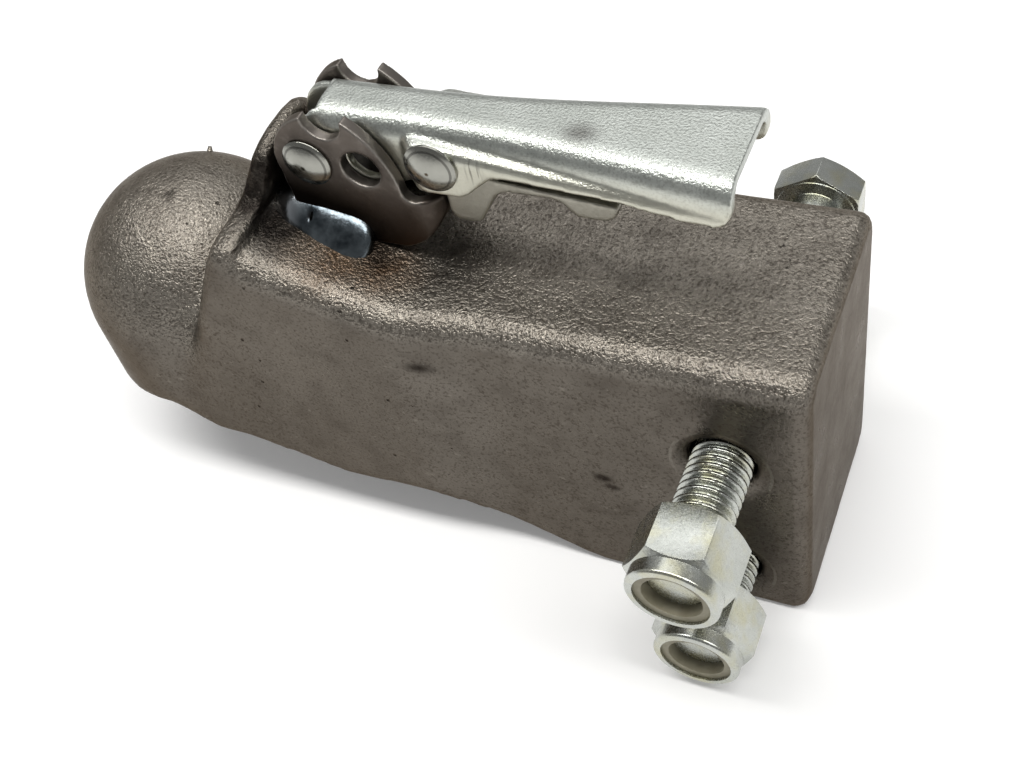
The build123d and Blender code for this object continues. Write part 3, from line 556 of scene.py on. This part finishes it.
# Weld beads
# One run of weld on each side joins the bracket's foot to the pad.
# The puddle froze smooth and glossy, blue-grey, with fine crescents at its end and a small gas pit; its
# front end carries a painted highlight.
def shape(piece, move):
    """Moves each point of a piece's mesh to where move puts it."""
    for point in piece.data.vertices:
        point.co = move(point.co)
    piece.data.update()


def cut_edges(piece, axis, shortest, cuts):
    """Cuts each edge that runs more than shortest along an axis into even lengths."""
    bpy.ops.object.mode_set(mode="EDIT")
    bpy.ops.mesh.select_mode(type="EDGE")
    bpy.ops.mesh.select_all(action="DESELECT")
    bpy.ops.object.mode_set(mode="OBJECT")
    points = piece.data.vertices
    for line in piece.data.edges:
        start, end = (points[index].co[axis] for index in line.vertices)
        line.select = abs(start - end) > shortest
    bpy.ops.object.mode_set(mode="EDIT")
    bpy.ops.mesh.subdivide(number_cuts=cuts)
    bpy.ops.object.mode_set(mode="OBJECT")


bead_low, bead_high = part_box("weld_bead_near")
bead_middle = (bead_low + bead_high) / 2
bead_radius = 0.0052
bead_half = 0.0072
bead_facet = bead_half * 0.6
bead_cuts = 60
bead_bulge = 0.86
bead_spread = 1.95
bead_width = 0.86
bead_widening = 10.0
bead_turn = 0.2
bead_forward = 0.0012
end_stretch = 1.6
ripple_height = 0.012
ripple_pace = 5600.0
ripple_bow = 60.0
ripple_start = 0.006
swell_height = 0.03
swell_pace = 420.0
swell_phase = 0.8
diagonal = math.sqrt(0.5)

# A point of the corner between the plate and the pad, and the pad's slope from there
corner_x = 0.0672
corner_y = 0.0128
corner_z = 0.0431
pad_slope = 0.27


def bead(name, side):
    """A long flat puddle across the corner of plate and pad, along the pad's slope."""
    bpy.ops.object.select_all(action="DESELECT")
    bpy.ops.mesh.primitive_uv_sphere_add(segments=56, ring_count=28, radius=bead_radius)
    piece = bpy.context.object
    piece.name = name
    piece.data.name = name
    piece.rotation_euler = (0.0, math.radians(90.0), 0.0)
    bpy.ops.object.transform_apply(location=False, rotation=True, scale=False)

    def drawn_out(point):
        if abs(point.x) <= 1e-6:
            return point
        return Vector((end_stretch * point.x + math.copysign(bead_half, point.x), point.y, point.z))

    def puddle(point):
        bulge = (point.z - side * point.y) * diagonal
        spread = (point.z + side * point.y) * diagonal
        crest = point.x + ripple_bow * spread**2
        ripple = ripple_height * math.sin(crest * ripple_pace)
        ripple *= min(1.0, max(0.0, point.x / ripple_start))
        swell = swell_height * math.sin(point.x * swell_pace + swell_phase)
        bulge *= bead_bulge * (1.0 + ripple + swell)
        spread *= bead_spread * (bead_width + bead_widening * point.x)
        across = (spread - bulge) * diagonal - bead_turn * point.x
        return Vector((point.x, -side * across, (spread + bulge) * diagonal))

    shape(piece, drawn_out)
    cut_edges(piece, 0, bead_facet, bead_cuts)
    shape(piece, puddle)
    piece.rotation_euler = (0.0, math.atan(pad_slope), 0.0)
    piece.location = (
        bead_middle.x - bead_forward,
        side * corner_y,
        corner_z + pad_slope * (corner_x - bead_middle.x),
    )
    bpy.ops.object.transform_apply(location=True, rotation=True, scale=False)
    edit_all(bpy.ops.mesh.normals_make_consistent, inside=False)
    bpy.ops.object.shade_smooth()
    return piece


weld, tree, shade = start_material("weld_metal")
where = place(tree)
drift = noise(tree, where, 150.0, 4.0, 0.6)
fine = noise(tree, where, 1500.0, 2.0, 0.5)
tone = ramp(tree, drift, (0.34, (0.04, 0.05, 0.058)), (0.66, (0.19, 0.22, 0.24)))
# The weld's front end is lightened as a painted highlight
painted_highlight_end = near_point(tree, where, (0.052, -0.0165, 0.05), (1.0, 0.6, 0.8), 0.008)
tone = blend(tree, sums(tree, "MULTIPLY", painted_highlight_end, 0.85), tone, (0.7, 0.74, 0.78))
pit = near_point(tree, where, (0.0612, -0.0158, 0.0487), (1.0, 0.3, 0.7), 0.0013)
tone = blend(tree, pit, tone, (0.015, 0.013, 0.011))
feed(tree, shade.inputs["Base Color"], tone)
shade.inputs["Metallic"].default_value = 1.0
feed(tree, shade.inputs["Roughness"], ramp(tree, drift, (0.3, 0.14), (0.75, 0.28)))
normal = bump(tree, fine, 0.00003)
feed(tree, shade.inputs["Normal"], bump(tree, sums(tree, "SUBTRACT", 1.0, pit), 0.0006, normal))
for name, side in (("weld_bead_near", -1), ("weld_bead_far", 1)):
    finish_piece(bead(name + "_run", side), "head", weld, name)


# Rivets
# Two cold-headed rivets: the handle's pivot through both cheeks, and the trigger's pin.
# Each head is a shallow bright dome inside a thin turned rim, with painted shade in the groove at the rim.
def soften(piece, width, turn, smooth):
    """Joins flat triangles, rounds edges past a turn by a width, and smooths the shading below an angle."""
    edit_all(bpy.ops.mesh.dissolve_limited, angle_limit=math.radians(0.5))
    edge = piece.modifiers.new("edge", "BEVEL")
    edge.width = width
    edge.segments = 3
    edge.limit_method = "ANGLE"
    edge.angle_limit = math.radians(turn)
    apply_all(piece)
    bpy.ops.object.shade_smooth_by_angle(angle=math.radians(smooth))


rivet = plain_metal(
    "bright_rivet",
    dark=(0.25, 0.25, 0.225),
    light=(0.36, 0.36, 0.325),
    rough=0.2,
    grain=700.0,
    depth=0.00003,
)
tree = rivet.node_tree
shade = tree.nodes["Principled BSDF"]
where = place(tree)
rim_radius = 0.0056
rim_width = 0.00025
turned = 0.0
for node in ("handle_pivot_pin", "trigger_pin"):
    low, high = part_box(node)
    turned = sums(tree, "ADD", ring(tree, where, (low + high) / 2, rim_radius, rim_width), turned)
worn = shade.inputs["Base Color"].links[0].from_socket
# The groove at the turned rim is darkened as painted shade
groove_shade = sums(tree, "MULTIPLY", turned, 0.7)
feed(tree, shade.inputs["Base Color"], blend(tree, groove_shade, worn, (0.08, 0.078, 0.07)))
skim = shade.inputs["Normal"].links[0].from_socket
feed(tree, shade.inputs["Normal"], bump(tree, sums(tree, "SUBTRACT", 1.0, turned), 0.0003, skim))
for node, body in (("handle_pivot_pin", "head"), ("trigger_pin", "handle")):
    stud = copy_solid(node, node + "_rivet")
    soften(stud, width=0.0002, turn=45.0, smooth=30.0)
    finish_piece(stud, body, rivet, node)


# Handle
# A lever pressed from sheet: a rounded crown that widens to the tail over a flared flange band.
# It is zinc plated, with a fine pebbled skin, a yellowish passivate low down and rubbed marks.
lever = copy_solid("latch_handle", "handle_lever")
press(lever, voxel=0.0006, rounds=6)
zinc, tree, shade = start_material("zinc_pressing")
where = place(tree)
top = ramp(tree, upward(tree), (0.45, 0.0), (0.8, 1.0))
drift = noise(tree, where, 40.0, 5.0, 0.6)
pebble = noise(tree, where, 1500.0, 2.0, 0.6)
spots = noise(tree, where, 330.0, 4.0, 0.65)
height = sums(tree, "MULTIPLY", parts(tree, where)["Z"], decimetres)
tone = ramp(tree, drift, (0.3, (0.44, 0.465, 0.43)), (0.7, (0.56, 0.585, 0.55)))
tone = blend(tree, ramp(tree, pebble, (0.36, 0.6), (0.52, 0.0)), tone, (0.32, 0.33, 0.305))
low_down = ramp(tree, height, (0.7, 1.0), (0.75, 0.0))
tone = blend(tree, sums(tree, "MULTIPLY", low_down, 0.7), tone, (0.56, 0.54, 0.44))
tone = blend(tree, ramp(tree, spots, (0.6, 0.0), (0.78, 0.45)), tone, (0.33, 0.33, 0.3))
mark = near_point(tree, where, (0.1362, -0.0038, 0.078), (0.8, 1.0, 0.5), 0.0055)
tone = blend(tree, sums(tree, "MULTIPLY", mark, 0.75), tone, (0.14, 0.135, 0.125))
streaks = tree.nodes.new("ShaderNodeMapping")
feed(tree, streaks.inputs["Vector"], where)
streaks.inputs["Rotation"].default_value = (0.0, math.radians(10.0), 0.0)
streaks.inputs["Scale"].default_value = (1.0, 0.2, 0.06)
rubs = ramp(tree, noise(tree, streaks.outputs["Vector"], 1500.0, 2.0, 0.6), (0.5, 0.0), (0.58, 0.8))
rubbed = near_point(tree, where, (0.1115, -0.0125, 0.0697), (1.3, 0.3, 0.75), 0.0046)
tone = blend(tree, sums(tree, "MULTIPLY", rubs, rubbed), tone, (0.15, 0.14, 0.12))
feed(tree, shade.inputs["Base Color"], tone)
shade.inputs["Metallic"].default_value = 1.0
feed(tree, shade.inputs["Roughness"], ramp(tree, spots, (0.3, 0.3), (0.75, 0.42)))
pebbled = sums(tree, "ADD", sums(tree, "MULTIPLY", top, 0.85), 0.15)
normal = bump(tree, sums(tree, "MULTIPLY", pebble, pebbled), 0.0002)
feed(tree, shade.inputs["Normal"], bump(tree, spots, 0.00004, normal))
finish_piece(lever, "handle", zinc, "latch_handle")


# Trigger
# A small pressed trough under the handle, with its catch in front and a finger lobe behind.
# It has the same zinc finish, duller, and painted darker as the shade under the handle.
trough = copy_solid("latch_trigger", "trigger_trough")
press(trough, voxel=0.0005, rounds=4)
# Its darker zinc colour is painted shade from the handle above
shaded_dull_zinc = plain_metal(
    "shaded_dull_zinc",
    dark=(0.27, 0.255, 0.215),
    light=(0.37, 0.355, 0.305),
    rough=0.42,
    grain=900.0,
    depth=0.0001,
)
finish_piece(trough, "trigger", shaded_dull_zinc, "latch_trigger")


# Tongue bolts and lock nuts
# Two hex bolts with rolled threads cross the block, and their nuts are run on only at the ends.
# Both are zinc plated; each nut holds a nylon ring in its rolled collar.
thread_pitch = 0.00231
thread_depth = 0.0012
thread_length = 0.041
thread_crest = 0.2
thread_facet = 0.0001
thread_cuts = (15, 14)
tip_chamfer = 0.0014
tip_slope = 0.9
bolt_radius = 0.0079375
shank_ease = 0.0001
head_height = 0.010
head_overlap = 0.0005


def hex_bolt(node, name):
    """A bolt with a rolled thread on its end, its head cut from the CAD solid."""
    low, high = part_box(node)
    centre_x = (low.x + high.x) / 2
    centre_z = (low.z + high.z) / 2
    head = copy_solid(node, name)
    edit_all(
        bpy.ops.mesh.bisect,
        plane_co=(0.0, high.y - head_height - head_overlap, 0.0),
        plane_no=(0.0, 1.0, 0.0),
        use_fill=True,
        clear_inner=True,
    )
    soften(head, width=0.0003, turn=20.0, smooth=25.0)

    bpy.ops.object.select_all(action="DESELECT")
    shank_end = high.y - head_height
    thread_end = low.y + thread_length
    bpy.ops.mesh.primitive_cylinder_add(
        vertices=48,
        radius=bolt_radius - shank_ease,
        depth=shank_end - thread_end,
        location=(centre_x, (shank_end + thread_end) / 2, centre_z),
        rotation=(math.radians(90.0), 0.0, 0.0),
    )
    shank = bpy.context.object
    bpy.ops.object.transform_apply(location=True, rotation=True, scale=True)
    bpy.ops.object.shade_smooth_by_angle(angle=math.radians(40.0))

    bpy.ops.object.select_all(action="DESELECT")
    bpy.ops.mesh.primitive_cylinder_add(vertices=64, radius=bolt_radius, depth=thread_length)
    thread = bpy.context.object
    for cuts in thread_cuts:
        cut_edges(thread, 2, thread_facet, cuts)

    def rolled(point):
        from_tip = point.z + thread_length / 2
        turn = math.atan2(point.y, point.x) / (2.0 * math.pi)
        phase = (from_tip / thread_pitch - turn) % 1.0
        flank = (abs(phase - 0.5) * 2.0 - thread_crest) / (1.0 - thread_crest)
        flank = min(1.0, max(0.0, flank))
        flank = flank * flank * (3.0 - 2.0 * flank)
        fade = min(1.0, (thread_length - from_tip) / (2.0 * thread_pitch))
        radius = bolt_radius - thread_depth * flank * fade
        radius = min(radius, bolt_radius - tip_chamfer + from_tip * tip_slope)
        size = radius / bolt_radius
        return Vector((point.x * size, point.y * size, point.z))

    shape(thread, rolled)
    bpy.ops.object.shade_smooth_by_angle(angle=math.radians(38.0))
    thread.rotation_euler = (math.radians(-90.0), 0.0, 0.0)
    thread.location = (centre_x, low.y + thread_length / 2, centre_z)
    bpy.ops.object.transform_apply(location=True, rotation=True, scale=True)
    shank.select_set(True)
    head.select_set(True)
    bpy.context.view_layer.objects.active = head
    bpy.ops.object.join()
    return head


plated, tree, shade = start_material("plated_fastener")
where = place(tree)
drift = noise(tree, where, 90.0, 4.0, 0.6)
speckle = noise(tree, where, 1500.0, 3.0, 0.6)
tone = ramp(tree, drift, (0.3, (0.4, 0.415, 0.385)), (0.7, (0.52, 0.535, 0.505)))
film = noise(tree, where, 130.0, 3.0, 0.5)
tone = blend(tree, ramp(tree, film, (0.46, 0.0), (0.66, 0.7)), tone, (0.46, 0.445, 0.31))
tone = blend(tree, ramp(tree, speckle, (0.6, 0.0), (0.74, 0.4)), tone, (0.34, 0.35, 0.34))
feed(tree, shade.inputs["Base Color"], tone)
shade.inputs["Metallic"].default_value = 1.0
feed(tree, shade.inputs["Roughness"], ramp(tree, speckle, (0.3, 0.2), (0.72, 0.32)))
feed(tree, shade.inputs["Normal"], bump(tree, speckle, 0.00003))
for node in ("bolt_upper", "bolt_lower"):
    finish_piece(hex_bolt(node, node + "_zinc"), "head", plated, node)
for node in ("lock_nut_upper", "lock_nut_lower"):
    nut = copy_solid(node, node + "_zinc")
    soften(nut, width=0.00035, turn=18.0, smooth=25.0)
    finish_piece(nut, "head", plated, node)

nylon, tree, shade = start_material("nylon_ring")
where = place(tree)
drift = noise(tree, where, 220.0, 3.0, 0.5)
tone = ramp(tree, drift, (0.3, (0.23, 0.21, 0.145)), (0.7, (0.34, 0.315, 0.23)))
feed(tree, shade.inputs["Base Color"], tone)
shade.inputs["Roughness"].default_value = 0.55
feed(tree, shade.inputs["Normal"], bump(tree, noise(tree, where, 1300.0), 0.00004))
for node in ("nylon_ring_upper", "nylon_ring_lower"):
    dress(node, nylon)


# Studio
# A white floor under the part, a long softbox overhead and a weaker one behind.
# The air is brighter behind the part than in front of it.
floor_z = cad_box[0][2] - 0.0004
bpy.ops.object.select_all(action="DESELECT")
bpy.ops.mesh.primitive_plane_add(size=6.0, location=(0.1, 0.0, floor_z))
floor = bpy.context.object
floor.name = "studio_floor"
paper, tree, shade = start_material("white_paper")
shade.inputs["Base Color"].default_value = (0.86, 0.86, 0.86, 1.0)
shade.inputs["Roughness"].default_value = 0.9
rays = tree.nodes.new("ShaderNodeLightPath")
seen = sums(tree, "ADD", rays.outputs["Is Camera Ray"], rays.outputs["Is Glossy Ray"])
seen = sums(tree, "ADD", seen, rays.outputs["Is Transmission Ray"])
lift = sums(tree, "MULTIPLY", seen, 0.15)
shade.inputs["Emission Color"].default_value = (1.0, 1.0, 1.0, 1.0)
feed(tree, shade.inputs["Emission Strength"], lift)
floor.data.materials.append(paper)

world = bpy.data.worlds.new("studio_air")
bpy.context.scene.world = world
world.use_nodes = True
sky = world.node_tree
air = sky.nodes["Background"]
depth = sums(sky, "ADD", parts(sky, place(sky, "Generated"))["Y"], 1.0)
depth = sums(sky, "MULTIPLY", depth, 0.5)
feed(sky, air.inputs["Color"], ramp(sky, depth, (0.05, 0.26), (0.35, 0.3), (0.6, 0.46)))
air.inputs["Strength"].default_value = 1.0


def softbox(name, spot, aim, width, depth, power, colour):
    """Oblong area lamp at a spot, turned to its aim."""
    lamp = bpy.data.lights.new(name, "AREA")
    lamp.shape = "RECTANGLE"
    lamp.size = width
    lamp.size_y = depth
    lamp.energy = power
    lamp.color = colour
    holder = bpy.data.objects.new(name, lamp)
    bpy.context.scene.collection.objects.link(holder)
    holder.location = spot
    holder.rotation_euler = (Vector(aim) - Vector(spot)).to_track_quat("-Z", "Y").to_euler()


softbox(
    "overhead",
    spot=(0.225, -0.16, 0.92),
    aim=(0.225, -0.16, 0.0),
    width=1.85,
    depth=0.21,
    power=12.2,
    colour=(1.0, 0.99, 0.97),
)
softbox(
    "behind",
    spot=(-0.05, 0.6, 0.95),
    aim=(0.1, 0.0, 0.0),
    width=1.0,
    depth=0.6,
    power=3.0,
    colour=(1.0, 1.0, 1.0),
)

# The camera stands where the photograph was taken, with its roll
azimuth = math.radians(34.15)
elevation = math.radians(48.54)
roll = math.radians(-15.06)
target = Vector((0.09847, 0.0, -0.02501))
distance = 0.37827
back = Vector(
    (
        math.sin(azimuth) * math.cos(elevation),
        -math.cos(azimuth) * math.cos(elevation),
        math.sin(elevation),
    )
)
level = Vector((math.cos(azimuth), math.sin(azimuth), 0.0))
upright = back.cross(level)
right = level * math.cos(roll) + upright * math.sin(roll)
up = upright * math.cos(roll) - level * math.sin(roll)
lens = bpy.data.cameras.new("photo_camera")
lens.sensor_width = 36.0
lens.lens = 45.03
lens.clip_start = 0.01
viewer = bpy.data.objects.new("photo_camera", lens)
bpy.context.scene.collection.objects.link(viewer)
viewer.matrix_world = Matrix.Translation(target + back * distance) @ Matrix(
    (right, up, back)
).transposed().to_4x4()
bpy.context.scene.camera = viewer
bpy.context.scene.view_settings.view_transform = "Standard"
